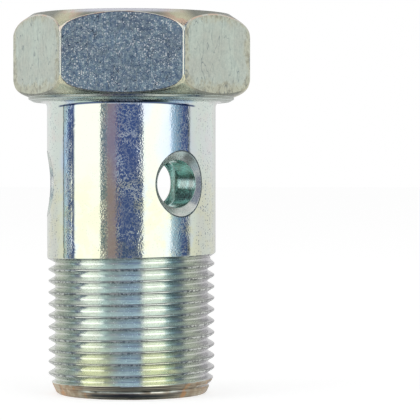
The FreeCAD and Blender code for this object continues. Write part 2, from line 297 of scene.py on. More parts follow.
def hexagon_side(azimuths, sizes):
    """Rows down the side of the head: upper chamfer, wall and lower chamfer, edges rounded.

    Each chamfer has rows that lie closer outwards, as 1 minus the square of an even share. Its
    edge is a quadratic curve from near the flat to a point below the one where the two meet.
    """
    chamfer_rows, edge_rows, wall_rows = 10, 6, 9
    hexagon = hexagon_radius(azimuths, sizes)
    tip = hexagon.max() + 1e-6
    share = 1 - np.linspace(1, 0, chamfer_rows + 1)[:, None] ** 2
    bend = np.linspace(0, 1, edge_rows + 1)[:, None]
    parts = []
    settings = (
        (sizes.head_top, -1, sizes.top_face_radius, sizes.top_chamfer_angle, *UPPER_BEND),
        (sizes.collar_top, 1, sizes.collar_radius, sizes.lower_chamfer_angle, *LOWER_BEND),
    )
    for level, side, face, slope, reach, drop, edge in settings:
        near = np.maximum(hexagon - edge, face + 0.3 * (hexagon - face))
        radius = face + (near - face) * share
        height = domed_height(radius, face, slope, reach, drop, tip)
        end = domed_height(hexagon, face, slope, reach, drop, tip)
        start = domed_height(near, face, slope, reach, drop, tip)
        curve_radius = quadratic(near, hexagon, hexagon, bend)
        curve_height = quadratic(start, end, end + edge, bend)
        rows = np.concatenate((
            np.stack((radius, level + side * height), axis=-1),
            np.stack((curve_radius, level + side * curve_height), axis=-1)[1:],
        ))
        parts.append(rows)
    upper, lower = parts[0], parts[1][::-1]
    gap = np.linspace(0, 1, wall_rows + 1)[1:-1, None, None]
    wall = upper[-1] + (lower[0] - upper[-1]) * gap
    finishes = [RIM] * chamfer_rows + [EDGE] * edge_rows + [FLAT] * wall_rows
    finishes += [RIM] * (edge_rows + chamfer_rows)
    return np.concatenate((upper, wall, lower)), finishes


def top_surface(azimuths, sizes):
    """Rows of the round face on top of the head, from its middle to the chamfer."""
    share = np.append(np.linspace(0, 0.985, 15), 1.0)[:, None]
    return place(sizes.top_face_radius * share, azimuths, sizes.head_top)


def collar_surface(azimuths, sizes, shank_top):
    """Rows from the foot of the hexagon down the collar and its fillet to the shank."""
    outline = turned_outline(azimuths, (
        (sizes.collar_radius, sizes.collar_top),
        (sizes.collar_radius, sizes.bearing_height + sizes.collar_bevel),
        (sizes.bearing_radius, sizes.bearing_height),
        (sizes.shank_radius, sizes.bearing_height),
        (sizes.shank_radius, shank_top),
    ))
    steps, cuts = 8, (3, 4, 3, 4)
    curves = round_corners(outline, (EDGE_BREAK, 0.8 * EDGE_BREAK, sizes.underhead_radius), steps)
    finishes = [COLLAR] * (sum(cuts[:3]) + 2 * steps) + [SHANK] * (steps + cuts[3])
    return wrap(azimuths, run_rows(outline, curves, cuts)), finishes


def thread_radius(azimuth, height, sizes):
    """Radius of the threaded stretch at an azimuth and height.

    Turns are counted from the root, which climbs one pitch a turn. From each rounded crest the
    flanks drop by the root of 3 times the height, so they are 60 degrees apart, down to a root
    rounded as (a + b - sqrt((a - b)^2 + w^2)) / 2. In the run-out the cut fades as the crests
    rise to the shank, and the last groove ends at a wall that leans back to the shank. The end
    chamfer cuts across all.
    """
    root_round, wall_round = 0.00006, 0.00005
    crest_lead, crest_length, wall_length = 0.0002, 0.0008, 0.0003
    wall_foot, wall_top = 0.00013, 0.46 * sizes.pitch
    turn = (height - sizes.root_level) / sizes.pitch - azimuth / (2 * np.pi)
    off = turn - np.round(turn)
    root_height = height - off * sizes.pitch
    below = (0.5 - np.abs(off)) * sizes.pitch
    touch = sizes.crest_round * math.cos(np.pi / 6)
    arc = sizes.crest_round - np.sqrt(sizes.crest_round ** 2 - np.minimum(below, touch) ** 2)
    flank = sizes.crest_round / 2 + (below - touch) * math.sqrt(3)
    spread = np.sqrt((flank - sizes.thread_depth) ** 2 + root_round ** 2)
    cut = np.where(below < touch, arc, (flank + sizes.thread_depth - spread) / 2)
    fade = 1 - smooth_step((root_height - sizes.runout_level) / sizes.runout_length)
    crest_rise = smooth_step((height - sizes.runout_level + crest_lead) / crest_length)
    crest = sizes.crest_radius + (sizes.shank_radius - sizes.crest_radius) * crest_rise
    # The wall above the last groove, measured from the root at or below each point. Its rounding
    # leaves half of wall_round where the wall has ended. So on part of the stretch's top ring the
    # radius is up to 0.025 mm short of the shank's, and the ring isn't welded to the shank there.
    share = turn - np.floor(turn)
    above = share * sizes.pitch
    lower_root = height - above
    runout_end = sizes.runout_level + sizes.runout_length
    last = smooth_step((lower_root - runout_end + sizes.pitch) / wall_length)
    lower_fade = 1 - smooth_step((lower_root - sizes.runout_level) / sizes.runout_length)
    full = sizes.thread_depth + crest - sizes.crest_radius
    wall = full * lower_fade * (1 - np.maximum(above - wall_foot, 0) / (wall_top - wall_foot))
    wall = (wall + np.sqrt(wall ** 2 + wall_round ** 2)) / 2 * (1 - smooth_step((share - 0.575) / 0.25))
    radius = crest - np.maximum(cut * fade, last * wall)
    chamfer = sizes.end_face_radius + height * math.tan(sizes.end_chamfer_angle)
    return np.minimum(radius, chamfer)


def thread_surface(azimuths, sizes, low, high):
    """Rows that climb with the thread from one azimuth round to the same again.

    Sixteen rows to a pitch lie closest at the crest, at the root and at the upper edge of the
    run-out. Rows outside the stretch are laid on its two end circles.
    """
    row = np.array([0, 0.05, 0.084, 0.25, 0.385, 0.43, 0.468, 0.5, 0.532, 0.57, 0.615, 0.69,
                    0.75, 0.83, 0.916, 0.95])
    around = np.append(azimuths, azimuths[0] + 2 * np.pi)
    first = math.floor((low - sizes.root_level) / sizes.pitch - 1)
    last = math.ceil((high - sizes.root_level) / sizes.pitch + 1)
    turns = (np.arange(first, last)[:, None] + row).ravel()
    height = sizes.root_level + sizes.pitch * (turns[:, None] + around / (2 * np.pi))
    height = np.clip(height, low, high)
    return place(thread_radius(around, height, sizes), around, height)


def rectangle_loop(azimuths, low, high, side_steps):
    """Azimuth and height once round a rectangle, and the angle round the hole for each point."""
    across = len(azimuths) - 1
    up = np.linspace(low, high, side_steps + 1)
    azimuth = np.concatenate((azimuths[:-1], np.full(side_steps, azimuths[-1]),
                              azimuths[:0:-1], np.full(side_steps, azimuths[0])))
    height = np.concatenate((np.full(across, low), up[:-1], np.full(across, high), up[:0:-1]))
    counts = (across, side_steps, across, side_steps)
    turn = np.concatenate([
        np.radians(np.linspace(225 + 90 * side, 315 + 90 * side, count, endpoint=False))
        for side, count in enumerate(counts)
    ])
    return azimuth, height, turn


def holed_wall(loop, rim_azimuth, rim_height, radius, shares):
    """Rings on a cylinder from a hole's rim out to a rectangle, blended in the unrolled plane."""
    azimuth, height, _ = loop
    share = np.asarray(shares)[:, None]
    return place(radius, rim_azimuth + (azimuth - rim_azimuth) * share,
                 rim_height + (height - rim_height) * share)


def cross_hole(loop, centre, sizes):
    """Rings of one countersunk hole, their finishes, and where it meets the shank and the bore.

    Each point has a distance out along the hole's axis and a distance from that axis. The rim
    solves rho = a + sqrt(R^2 - (rho cos t)^2) - b, the countersink meeting the round shank, by
    putting each answer in again.
    """
    margin, edge_round, steps, cuts = 0.0003, 0.0003, 4, (1, 4, 8)
    turn = loop[2]
    across = np.cos(turn)
    sink_floor = sizes.shank_radius - sizes.sink_width
    rim = np.full_like(turn, sizes.hole_radius + sizes.sink_width)
    for _ in range(30):
        rim = sizes.hole_radius + np.sqrt(sizes.shank_radius ** 2 - (rim * across) ** 2) - sink_floor
    outer = rim + margin
    reach = np.full_like(turn, sizes.hole_radius)
    outline = np.stack((
        np.stack((np.sqrt(sizes.shank_radius ** 2 - (outer * across) ** 2), outer), axis=-1),
        np.stack((np.sqrt(sizes.shank_radius ** 2 - (rim * across) ** 2), rim), axis=-1),
        np.stack((np.full_like(turn, sink_floor), reach), axis=-1),
        np.stack((np.sqrt(sizes.bore_radius ** 2 - (reach * across) ** 2), reach), axis=-1),
    ))
    curves = round_corners(outline, (edge_round, edge_round), steps)
    rows = run_rows(outline, curves, cuts)
    finishes = [SHANK] + [HOLE_EDGE] * 3 + [SINK] * 6 + [BORE] * (len(rows) - 11)
    out, rho = rows[..., 0], rows[..., 1]
    side = rho * across
    points = np.stack((
        out * math.sin(centre) + side * math.cos(centre),
        side * math.sin(centre) - out * math.cos(centre),
        sizes.hole_height + rho * np.sin(turn),
    ), axis=-1)
    shank_rim = (centre + np.arcsin(outer * across / sizes.shank_radius),
                 sizes.hole_height + outer * np.sin(turn))
    bore_rim = (centre + np.arcsin(reach * across / sizes.bore_radius),
                sizes.hole_height + reach * np.sin(turn))
    return points, finishes, shank_rim, bore_rim


def end_surface(azimuths, sizes, bore_low, thread_low):
    """Rows from the bore, over its mouth and the end face, to the foot of the thread.

    The chamfer is made long while its lower edge is rounded, and then cut off at the thread.
    """
    slope = math.tan(sizes.end_chamfer_angle)
    long_chamfer = 0.002
    outline = turned_outline(azimuths, (
        (sizes.bore_radius, bore_low),
        (sizes.bore_radius, sizes.bore_mouth),
        (sizes.bore_radius + sizes.bore_mouth, 0.0),
        (sizes.end_face_radius, 0.0),
        (sizes.end_face_radius + long_chamfer * slope, long_chamfer),
    ))
    steps, cuts = 5, (14, 2, 8, 1)
    curves = round_corners(outline, (EDGE_BREAK, EDGE_BREAK, sizes.end_edge_radius), steps)
    outline[-1] = sizes.end_face_radius + thread_low * slope, thread_low
    finishes = [BORE] * (cuts[0] + steps) + [END] * (sum(cuts[1:]) + 2 * steps)
    return wrap(azimuths, run_rows(outline, curves, cuts)), finishes


def bore_roof(azimuths, sizes):
    """Rows of the drill point, from the top of the bore to its tip."""
    rise = sizes.bore_radius / math.tan(sizes.drill_point / 2)
    share = np.linspace(0, 1, 10)[:, None]
    return place(sizes.bore_radius * (1 - share), azimuths, sizes.bore_depth + rise * share)


def head_side(azimuths, sizes):
    """Side of the head, with the edge's finish where two flats meet."""
    rows, finishes = hexagon_side(azimuths, sizes)
    at_corner = np.abs(from_flat(azimuths)) > math.radians(29.0)
    at_corner &= np.roll(at_corner, -1)
    parts = np.repeat(np.array(finishes)[:, None], len(azimuths), axis=1)
    parts[(parts == FLAT) & at_corner] = EDGE
    return wrap(azimuths, rows), parts


def thread_finishes(thread, sizes):
    """Finish of each face of the thread: that of the end on its chamfer, the shank's at the top."""
    first_crest, chamfer_end, slack, plain_slack = 0.0012, 0.003, 1e-6, 0.00008
    height = thread[..., 2]
    reach = np.hypot(thread[..., 0], thread[..., 1])
    chamfer = sizes.end_face_radius + height * math.tan(sizes.end_chamfer_angle)
    on_chamfer = (reach > chamfer - slack) & (height < chamfer_end) | (height < first_crest)
    parts = np.where(on_chamfer[:-1, :-1] & on_chamfer[1:, 1:], END, THREAD)
    plain = reach > sizes.shank_radius - plain_slack
    parts[plain[:-1, :-1] & plain[1:, 1:] & plain[:-1, 1:] & plain[1:, :-1]] = SHANK
    return parts


def bolt_patches(sizes):
    """Every grid of the bolt: its points, its finish for each row of faces, and if it closes."""
    azimuths = column_azimuths(sizes)
    shank_low, shank_high = 0.01895, 0.0354
    bore_low, thread_low = 0.0209, 0.00053
    thread = thread_surface(azimuths, sizes, thread_low, shank_low)
    top, roof = top_surface(azimuths, sizes), bore_roof(azimuths, sizes)
    patches = [
        (top, [TOP] * (len(top) - 1), True),
        (*head_side(azimuths, sizes), True),
        (*collar_surface(azimuths, sizes, shank_high), True),
        (thread, thread_finishes(thread, sizes), False),
        (*end_surface(azimuths, sizes, bore_low, thread_low), True),
        (roof, [BORE] * (len(roof) - 1), True),
    ]
    hole_count, side_steps = 3, 28
    around = np.append(azimuths, azimuths[0] + 2 * np.pi)
    columns = len(azimuths) // hole_count
    shares = np.linspace(0, 1, 19) ** 1.35
    for number in range(hole_count):
        part = around[number * columns:(number + 1) * columns + 1]
        centre = (part[0] + part[-1]) / 2
        outer_loop = rectangle_loop(part, shank_low, shank_high, side_steps)
        inner_loop = rectangle_loop(part, bore_low, sizes.bore_depth, side_steps)
        hole, finishes, shank_rim, bore_rim = cross_hole(outer_loop, centre, sizes)
        wall = holed_wall(outer_loop, *shank_rim, sizes.shank_radius, shares)
        inside = holed_wall(inner_loop, *bore_rim, sizes.bore_radius, shares[::2])
        patches.append((wall, [SHANK] * (len(wall) - 1), True))
        patches.append((hole, finishes, True))
        patches.append((inside, [BORE] * (len(inside) - 1), True))
    return patches


def join_patches(name, patches):
    """Make one mesh of the grids: weld what coincides, turn faces outwards and shade smoothly.

    A point's normal is the sum of its faces' normals, each times its area, so that flats stay
    flat right up to their rounded edges.
    """
    points, faces, finishes = [], [], []
    start = 0
    for grid, parts, closed in patches:
        rows, columns = grid.shape[:2]
        index = start + np.arange(rows * columns).reshape(rows, columns)
        if closed:
            index = np.concatenate((index, index[:, :1]), axis=1)
        quads = np.stack((index[:-1, :-1], index[:-1, 1:], index[1:, 1:], index[1:, :-1]), axis=-1)
        points.append(grid.reshape(-1, 3))
        faces.append(quads.reshape(-1, 4))
        parts = np.asarray(parts)
        if parts.ndim == 1:
            parts = np.repeat(parts, index.shape[1] - 1)
        finishes.append(parts.ravel())
        start += rows * columns
    mesh = bpy.data.meshes.new(name)
    mesh.from_pydata(np.concatenate(points).tolist(), [], np.concatenate(faces).tolist())
    mesh.polygons.foreach_set("material_index", np.concatenate(finishes).astype(np.int32))

    shell = bmesh.new()
    shell.from_mesh(mesh)
    bmesh.ops.remove_doubles(shell, verts=shell.verts, dist=WELD_DISTANCE)
    bmesh.ops.recalc_face_normals(shell, faces=shell.faces)
    open_edges = sum(1 for edge in shell.edges if not edge.is_manifold)
    shell.to_mesh(mesh)
    shell.free()
    if open_edges:
        print("open or doubled edges:", open_edges)

    count = len(mesh.polygons)
    normals = np.empty(count * 3)
    areas = np.empty(count)
    totals = np.empty(count, dtype=np.int32)
    corners = np.empty(len(mesh.loops), dtype=np.int32)
    mesh.polygons.foreach_get("normal", normals)
    mesh.polygons.foreach_get("area", areas)
    mesh.polygons.foreach_get("loop_total", totals)
    mesh.loops.foreach_get("vertex_index", corners)
    weighted = np.repeat(normals.reshape(-1, 3) * areas[:, None], totals, axis=0)
    summed = np.zeros((len(mesh.vertices), 3))
    np.add.at(summed, corners, weighted)
    summed /= np.maximum(np.linalg.norm(summed, axis=1, keepdims=True), 1e-20)
    mesh.polygons.foreach_set("use_smooth", np.ones(count, dtype=bool))
    mesh.normals_split_custom_set_from_vertices(summed.tolist())
    return mesh


# Finishes, as shader nodes on Object coordinates

def opaque(colour):
    """A colour with full alpha. A number stands for a grey, and a socket stays as it is."""
    if isinstance(colour, bpy.types.NodeSocket):
        return colour
    if isinstance(colour, (int, float)):
        colour = (colour, colour, colour)
    return (*colour, 1.0)


class Nodes:
    """Writes the nodes of one shader. Lengths are in millimetres and angles in degrees."""

    def __init__(self, tree):
        self.tree = tree
        tree.nodes.clear()

    def put(self, kind, feeds=None, **settings):
        """Add a node. Feeds that are sockets are linked, and the others are values."""
        node = self.tree.nodes.new("ShaderNode" + kind)
        for name, value in settings.items():
            setattr(node, name, value)
        for key, value in (feeds or {}).items():
            if isinstance(value, bpy.types.NodeSocket):
                self.tree.links.new(value, node.inputs[key])
            else:
                node.inputs[key].default_value = value
        return node

    def calc(self, operation, first, second=0.0):
        """One arithmetic step."""
        return self.put("Math", {0: first, 1: second}, operation=operation).outputs[0]

    def times(self, first, *others):
        """Product of two or more values."""
        for other in others:
            first = self.calc("MULTIPLY", first, other)
        return first

    def plus(self, first, *others):
        """Sum of two or more values."""
        for other in others:
            first = self.calc("ADD", first, other)
        return first

    def size_of(self, value):
        """A value without its sign."""
        return self.calc("ABSOLUTE", value)

    def fit(self, value, low, high, to_low=0.0, to_high=1.0):
        """Bring a value from one range to another, kept within it."""
        feeds = {"Value": value, "From Min": low, "From Max": high, "To Min": to_low, "To Max": to_high}
        return self.put("MapRange", feeds, interpolation_type="SMOOTHSTEP").outputs["Result"]

    def near(self, value, centre, reach):
        """1 where a value equals the centre, fading to 0 at this reach on both sides."""
        return self.fit(self.size_of(self.calc("SUBTRACT", value, centre)), reach, 0.4 * reach)

    def blend(self, factor, first, second, kind="MIX"):
        """Blend two colours."""
        feeds = {0: factor, 6: opaque(first), 7: opaque(second)}
        return self.put("Mix", feeds, data_type="RGBA", blend_type=kind).outputs[2]

    def ramp(self, share, stops, interpolation="LINEAR"):
        """Blend colours along a share from 0 to 1: stops are (share, colour)."""
        node = self.put("ValToRGB", {"Fac": share})
        node.color_ramp.interpolation = interpolation
        elements = node.color_ramp.elements
        while len(elements) < len(stops):
            elements.new(0.5)
        for element, (position, colour) in zip(elements, stops):
            element.position = position
            element.color = opaque(colour)
        return node.outputs["Color"]

    def bands(self, azimuth, stops):
        """Blend colours round the axis: stops are (azimuth, colour), with the two ends alike."""
        share = self.plus(self.calc("DIVIDE", azimuth, 360.0), 0.5)
        return self.ramp(share, [(degrees / 360 + 0.5, colour) for degrees, colour in stops], "EASE")

    def point(self, *stretch):
        """Object coordinates in millimetres, stretched along the axes where three numbers say so."""
        feeds = {"Vector": self.put("TexCoord").outputs["Object"],
                 "Scale": tuple(1000 * value for value in stretch or (1.0, 1.0, 1.0))}
        return self.put("Mapping", feeds).outputs["Vector"]

    def turn_of(self, parts):
        """Azimuth of a vector that is split in its parts, turned from -Y towards +X."""
        turn = self.calc("ARCTAN2", parts["X"], self.times(parts["Y"], -1.0))
        return self.times(turn, math.degrees(1))

    @cached_property
    def parts(self):
        """Object coordinates one by one."""
        return self.put("SeparateXYZ", {"Vector": self.point()}).outputs

    @cached_property
    def azimuth(self):
        """Angle round the axis, 0 at the front of the bolt."""
        return self.turn_of(self.parts)

    @cached_property
    def level(self):
        """Height above the threaded end."""
        return self.parts["Z"]

    def noise(self, scale, detail=2.0, roughness=0.5, point=None):
        """Soft random field of about 0.3 to 0.7."""
        feeds = {"Vector": self.point() if point is None else point,
                 "Scale": scale, "Detail": detail, "Roughness": roughness}
        return self.put("TexNoise", feeds).outputs["Fac"]

    def rings(self, scale):
        """Turning marks: a noise of radius plus height, the same all round."""
        squares = [self.calc("POWER", self.parts[axis], 2.0) for axis in ("X", "Y")]
        radius = self.calc("SQRT", self.plus(*squares))
        along = self.put("CombineXYZ", {"X": self.plus(radius, self.level)}).outputs["Vector"]
        return self.noise(scale, 3.0, 0.6, along)

    def grains(self, scale, share, size=0.34):
        """Scattered round grains of mixed strength: about this share of the cells holds one."""
        cells = self.put("TexVoronoi", {"Vector": self.point(), "Scale": scale}).outputs
        spot = self.fit(cells["Distance"], size, 0.45 * size)
        lot = self.put("SeparateColor", {"Color": cells["Color"]}).outputs["Red"]
        return self.times(spot, self.fit(lot, 1.0 - share, 1.3 - share))

    def worms(self, scale, width, point=None):
        """Fine winding lines: where a noise passes its middle value."""
        middle = self.calc("SUBTRACT", self.noise(scale, 2.0, 0.6, point), 0.5)
        return self.fit(self.size_of(middle), width, 0.0)


def rough(low, high, scale=2.0, detail=2.0):
    """Build a roughness that wanders between two values."""
    return lambda n: n.fit(n.noise(scale, detail), 0.3, 0.7, low, high)


def grainy(scale, detail=3.0):
    """Build a bump height of fine grain."""
    return lambda n: n.noise(scale, detail, 0.6)


def patchy(first, second, noise, span, most=1.0):
    """Build a colour with patches of the second, where a noise passes through a span."""
    return lambda n: n.blend(n.fit(n.noise(*noise), *span, 0.0, most), first, second)


def plated(name, colour, roughness, height, depth, viewport, matt=0.0):
    """Make a metal finish of functions that write its colour, roughness and bump height.

    Matt is the share of dull zinc salt on the metal: a number, or a function that writes it.
    """
    material = bpy.data.materials.new(name)
    material.use_nodes = True
    material.diffuse_color = (*viewport, 1.0)
    n = Nodes(material.node_tree)
    bump = n.put("Bump", {"Height": height(n), "Strength": 1.0, "Distance": depth})
    shader = n.put("BsdfPrincipled", {
        "Base Color": colour(n),
        "Roughness": roughness(n),
        "Normal": bump.outputs["Normal"],
        "Metallic": n.calc("SUBTRACT", 1.0, matt(n)) if callable(matt) else 1.0 - matt,
    })
    n.put("OutputMaterial", {"Surface": shader.outputs["BSDF"]})
    return material


def dark_stripes(n):
    """1 in the stripes of the shank that mirror something dark, 0 in the pale ones."""
    return n.bands(n.azimuth, (
        (-180, 0), (-44.5, 0), (-43.5, 1), (-39, 1), (-37.5, 0), (-17, 0), (-15.5, 1), (-11.5, 1),
        (-10.5, 0.25), (-6, 0.25), (-5, 1), (12, 1), (14, 0), (30, 0), (33, 0.75), (45, 0.75),
        (48, 0), (180, 0)))


def shank_finish(scene):
    """Turned zinc: bands of tint, partly passivation and partly painted reflection, as they follow the
    strips the shank mirrors; worn and pitted low at the sides; pebbled where it is dark; and a painted
    dark reflection line below the fillet.
    """
    colours = scene.bolt_colours
    pale, blue = colours.shank_pale, colours.shank_blue
    mint, warm = colours.shank_mint, colours.shank_warm
    lilac, lemon, worn = (0.62, 0.60, 0.68), (0.65, 0.67, 0.46), (0.46, 0.47, 0.43)
    # Ink darkens the pits, and also paints a dark line below the fillet: a painted reflection.
    ink = (0.09, 0.12, 0.20)
    painted_line_level = 1000 * scene.bolt_sizes.bearing_height - 0.28
    painted_line_end = 50.0

    def colour(n):
        wander = n.fit(n.noise(1.0, 3.0, 0.5, n.point(0.25, 0.25, 0.12)), 0.3, 0.7, -5.0, 5.0)
        # Tint bands: blue where the shank mirrors dark strips and pale where it mirrors white ones,
        # which is partly painted reflection.
        tint = n.bands(n.plus(n.azimuth, wander), (
            (-180, mint), (-150, pale), (-115, warm), (-85, mint), (-52, mint), (-42, blue),
            (-30, pale), (-12, pale), (-2, blue), (9, blue), (20, pale), (38, blue), (54, mint),
            (90, mint), (120, blue), (150, pale), (180, mint)))
        away = n.size_of(n.azimuth)
        patch = n.fit(n.noise(0.5, 4.0, 0.6), 0.42, 0.68)
        side = n.fit(away, 50.0, 60.0, 0.2, 0.4)
        tint = n.blend(n.times(patch, side), tint, warm)
        veil = n.fit(n.noise(0.22, 3.0, 0.6, n.point(1.0, 1.0, 0.6)), 0.5, 0.6)
        tint = n.blend(n.times(veil, n.fit(side, 0.2, 0.4, 0.0, 0.3)), tint, lilac)
        low = n.times(n.fit(n.level, 31.0, 25.0), n.fit(patch, 0.0, 0.6, 0.4, 1.0))
        tint = n.blend(n.times(low, 0.7), tint, lemon)
        outer = n.times(n.fit(away, 50.0, 58.0, 0.1, 1.0), n.fit(away, 85.0, 110.0, 1.0, 0.4))
        tint = n.blend(n.times(outer, n.fit(n.level, 33.0, 22.0), 0.4), tint, worn)
        clouds = n.times(n.fit(n.noise(0.35, 3.0, 0.6), 0.35, 0.6, 0.15, 0.9),
                         n.fit(n.level, 31.0, 24.0, 0.8, 1.5))
        pits = n.times(n.grains(3.8, 0.6, 0.42), outer, clouds)
        # Painted reflection: a dark line round the foot of the fillet, lower towards the sides, only in
        # front.
        drop = n.times(n.calc("POWER", n.calc("DIVIDE", n.azimuth, painted_line_end), 2.0), 0.4)
        line = n.times(n.near(n.plus(n.level, drop), painted_line_level, 0.16),
                       n.fit(away, painted_line_end + 4.0, painted_line_end))
        return n.blend(n.plus(pits, line), tint, ink)

    def height(n):
        pebbles = n.put("TexVoronoi", {"Vector": n.point(), "Scale": 4.8}).outputs["Distance"]
        clouds = n.fit(n.noise(0.35, 3.0), 0.38, 0.62, 0.35, 1.0)
        clouds = n.times(clouds, n.fit(dark_stripes(n), 0.0, 1.0, 0.02, 1.0))
        return n.plus(n.times(pebbles, clouds), n.times(n.noise(2.5), 0.1))

    def matt(n):
        clouds = n.fit(n.noise(0.4, 4.0, 0.6), 0.38, 0.6, 0.3, 1.0)
        return n.times(n.worms(2.4, 0.075), clouds, dark_stripes(n))

    return plated("shank_zinc", colour, rough(0.035, 0.08, 1.5), height, 0.00002,
                  (0.75, 0.8, 0.8), matt)


def thread_finish(scene):
    """Cut thread: grey-green, mauve at the right, limy low in front, paler as painted highlight where
    it mirrors the white strips, and painted shade beside the crests.
    """
    colours, sizes = scene.bolt_colours, scene.bolt_sizes
    sage, pale = colours.thread_sage, colours.thread_highlight_pale
    moss, teal, mint = (0.48, 0.56, 0.50), (0.44, 0.55, 0.53), (0.72, 0.84, 0.80)
    near_black, ink, chalk = (0.05, 0.06, 0.07), (0.05, 0.07, 0.08), (0.75, 0.78, 0.74)
    along_turns = (0.1, 0.1, 3.0)

    def flank(n):
        """Share of a pitch above the root: below 0.5 is the underside of a crest."""
        climbed = n.calc("SUBTRACT", n.level, 1000 * sizes.root_level)
        turns = n.calc("DIVIDE", climbed, 1000 * sizes.pitch)
        return n.calc("FRACT", n.calc("SUBTRACT", turns, n.calc("DIVIDE", n.azimuth, 360.0)))

    def colour(n):
        # The pale stops fall where the thread mirrors the white strips: a painted highlight.
        side = n.bands(n.azimuth, (
            (-180, sage), (-60, sage), (-46, moss), (-36, pale), (-22, pale), (-14, mint),
            (8, colours.thread_blue), (15, pale), (28, pale), (38, teal), (52, sage),
            (80, colours.thread_mauve), (130, sage), (180, sage)))
        # Front is 1 in those same bands: low down they turn lime, and they keep few marks and specks.
        front = n.bands(n.azimuth, (
            (-180, 0), (-42, 0), (-32, 1), (-14, 1), (-5, 0), (10, 0), (15, 1), (36, 1), (46, 0),
            (180, 0)))
        tint = n.blend(n.times(n.fit(n.level, 9.0, 3.5), front), side, colours.thread_lime)
        # Painted shade: a dark line on each side of the crest and a slight dip at the root, multiplied
        # into the tint.
        painted_shade = n.ramp(flank(n), (
            (0.0, 0.8), (0.05, 1.0), (0.24, 1.0), (0.32, 0.7), (0.40, 0.65), (0.42, 0.08),
            (0.465, 0.08), (0.485, 0.9), (0.515, 0.9), (0.535, 0.2), (0.565, 0.2), (0.59, 0.75),
            (0.64, 1.0), (0.95, 1.0), (1.0, 0.8)))
        tint = n.blend(1.0, tint, painted_shade, "MULTIPLY")
        clean = n.fit(front, 0.0, 1.0, 1.0, 0.15)
        marks = n.fit(n.noise(1.6, 2.0, 0.6, n.point(*along_turns)), 0.5, 0.62, 0.0, 0.3)
        tint = n.blend(n.times(marks, clean), tint, ink)
        under = n.times(n.near(flank(n), 0.42, 0.16), clean)
        specks = n.fit(n.noise(2.6, 2.0, 0.7), 0.45, 0.6, -0.8, 0.5)
        tint = n.blend(n.times(n.calc("MAXIMUM", specks, 0.0), under), tint, near_black)
        bright = n.calc("MAXIMUM", n.times(specks, -0.8), 0.0)
        return n.blend(n.times(bright, under), tint, chalk)

    def height(n):
        marks = n.noise(1.6, 2.0, 0.6, n.point(*along_turns))
        return n.plus(n.times(marks, 0.8), n.times(n.noise(3.2, 3.0, 0.65), 0.6))

    def matt(n):
        clouds = n.fit(n.noise(0.6, 3.0), 0.35, 0.65, 0.05, 0.18)
        sides = n.plus(n.near(n.azimuth, -44.0, 12.0), n.near(n.azimuth, 42.0, 12.0))
        return n.plus(clouds, n.times(n.near(n.azimuth, -3.0, 24.0), 0.3), n.times(sides, 0.22),
                      n.times(n.grains(3.9, 0.5), 0.3))

    return plated("thread_zinc", colour, lambda n: n.fit(n.grains(3.6, 0.5), 0.0, 1.0, 0.12, 0.3),
                  height, 0.000016, (0.55, 0.62, 0.5), matt)


def painted_glint_spots(n):
    """Fine crystals on the front flat, painted as white spots that stand in for their glints, denser in
    some places, and hardly any elsewhere.
    """
    clouds = n.fit(n.noise(0.3, 3.0, 0.6), 0.35, 0.6, 0.5, 1.0)
    front = n.fit(n.size_of(n.azimuth), 29.5, 30.5, 1.0, 0.12)
    small = n.times(n.grains(5.0, 0.6, 0.48), 0.7)
    return n.times(n.calc("MAXIMUM", n.grains(3.4, 0.5, 0.4), small), clouds, front)


def flat_finish(scene):
    """Drawn hexagon: slate in front, olive with worn borders at the sides, fine marks, and white spots
    of painted glint in front.
    """
    colours = scene.bolt_colours
    dirt_brown, ink, white = (0.25, 0.24, 0.18), (0.13, 0.17, 0.19), (1.0, 1.0, 1.0)
    middle, half_height = 44.2, 5.0

    def colour(n):
        side = n.fit(n.size_of(n.azimuth), 29.5, 30.5)
        patch = n.fit(n.noise(0.2, 4.0, 0.6), 0.35, 0.65, -0.2, 0.4)
        patch = n.times(patch, n.fit(side, 0.0, 1.0, 1.0, 0.4))
        tint = n.blend(n.plus(n.times(side, 0.8), patch), colours.flat_slate, colours.flat_olive)
        across = n.calc("DIVIDE", n.calc("PINGPONG", n.plus(n.azimuth, 30.0), 30.0), 30.0)
        along = n.calc("DIVIDE", n.size_of(n.calc("SUBTRACT", n.level, middle)), half_height)
        ragged = n.fit(n.noise(0.5, 4.0, 0.7), 0.35, 0.65, -0.3, 0.25)
        border = n.plus(n.fit(along, 0.55, 1.0), n.fit(across, 0.3, 0.0), ragged)
        border = n.times(n.fit(border, 0.3, 0.9, 0.0, 0.6), side)
        tint = n.blend(border, tint, colours.rim_cream)
        dirt = n.times(n.fit(n.noise(1.3, 3.0, 0.7), 0.5, 0.57), border)
        tint = n.blend(dirt, tint, dirt_brown)
        mottle = n.fit(n.noise(1.6, 4.0, 0.75), 0.35, 0.65, 0.3, -0.1)
        mottle = n.times(mottle, n.fit(side, 0.0, 1.0, 1.3, 0.6))
        scratches = n.times(n.worms(0.45, 0.008, n.point(1.0, 1.0, 0.3)), 0.7)
        tint = n.blend(n.plus(mottle, scratches), tint, ink)
        # Painted glints: white spots where the crystals catch the light.
        return n.blend(painted_glint_spots(n), tint, white)

    def height(n):
        scores = n.fit(n.noise(0.9, 1.0, 0.5, n.point(1.0, 1.0, 0.15)), 0.57, 0.63)
        return n.plus(n.times(n.noise(3.0, 3.0, 0.6), 0.4), n.times(scores, 0.3))

    return plated("flat_zinc", colour, rough(0.3, 0.42), height, 0.00003, (0.25, 0.3, 0.33), painted_glint_spots)


def edge_finish(scene):
    """Rounded edges of the hexagon, rubbed brighter than the flats."""
    colours = scene.bolt_colours

    def colour(n):
        patch = n.fit(n.noise(0.6, 3.0), 0.4, 0.62)
        rose = n.times(n.fit(n.level, 45.5, 47.0, 0.0, 0.7), patch)
        return n.blend(rose, n.blend(patch, colours.edge_pale, colours.flat_olive), colours.rim_rose)

    return plated("edge_zinc", colour, rough(0.14, 0.28), grainy(2.0), 0.00002, (0.8, 0.8, 0.72))


